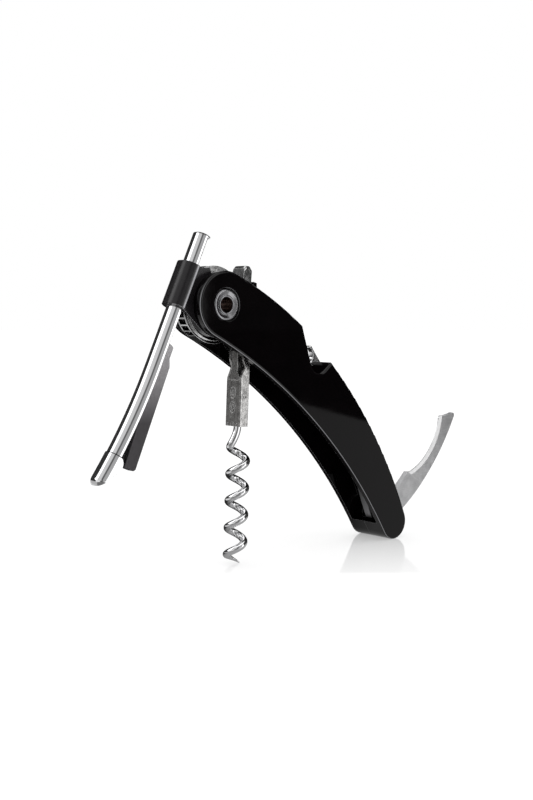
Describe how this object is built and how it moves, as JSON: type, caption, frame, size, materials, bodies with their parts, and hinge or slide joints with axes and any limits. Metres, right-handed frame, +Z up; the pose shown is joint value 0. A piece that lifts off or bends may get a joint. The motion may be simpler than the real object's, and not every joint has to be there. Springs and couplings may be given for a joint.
{
  "type": "lever corkscrew",
  "caption": "Folding lever corkscrew: black handle with a geared sliding lever, helical worm, foil knife and crown-cap claw.",
  "frame": {"origin": "centre of the hollow axle at the head of the handle, on the plane where the two shells meet", "axes": "+Z up; +Y along the axle, across the handle's thickness; +X from the head towards the far end of the handle, with the lever on the -X side"},
  "size_m": [0.1789, 0.0178, 0.1148],
  "materials": {
    "handle_plastic": "moulded gloss black",
    "eyelet_chrome": "polished, dished face slightly brushed",
    "gear_nickel": "nickel plated, glossy",
    "pin_steel": "ground",
    "spring_steel": "satin",
    "lifter_chrome": "polished",
    "bracket_black": "satin black coating",
    "lever_chrome": "polished",
    "rack_steel": "satin steel, fine grain",
    "worm_chrome": "polished",
    "holder_nickel": "nickel plated stamping, slightly mottled",
    "knife_steel": "brushed stainless"
  },
  "bodies": {
    "handle": {"front_shell": "handle_plastic", "back_shell": "handle_plastic", "hollow_axle": "eyelet_chrome", "front_eyelet": "eyelet_chrome", "back_eyelet": "eyelet_chrome", "drive_gear": "gear_nickel", "gear_key_pin": "pin_steel", "worm_pin": "pin_steel", "knife_pin": "pin_steel", "knife_spring": "spring_steel", "cap_lifter": "lifter_chrome", "lifter_pin": "pin_steel", "shell_dowels": "pin_steel"},
    "bracket": {"lever_bracket": "bracket_black"},
    "lever": {"lever_rod": "lever_chrome", "lever_foot": "lever_chrome", "rack_bar": "rack_steel"},
    "worm_arm": {"worm": "worm_chrome", "worm_holder": "holder_nickel", "worm_rivet": "holder_nickel"},
    "knife": {"foil_knife": "knife_steel"}
  },
  "joints": [
    {"name": "lever_pivot", "type": "hinge", "parent": "handle", "child": "bracket", "pos_m": [0, 0, 0], "axis": [0, 1, 0], "range_deg": [-28, 45]},
    {"name": "rod_slide", "type": "slide", "parent": "bracket", "child": "lever", "axis": [-0.4258, 0, -0.9048], "range_m": [-0.00612, 0.00984]},
    {"name": "worm_fold", "type": "hinge", "parent": "handle", "child": "worm_arm", "pos_m": [0.0142, 0, -0.013], "axis": [0, 1, 0], "range_deg": [-47, 8]},
    {"name": "knife_fold", "type": "hinge", "parent": "handle", "child": "knife", "pos_m": [0.0874, 0, -0.0816], "axis": [0, 1, 0], "range_deg": [-77, 10]}
  ],
  "couplings": [
    {"joint": "rod_slide", "follows": "lever_pivot", "m_per_rad": 0.0125}
  ]
}
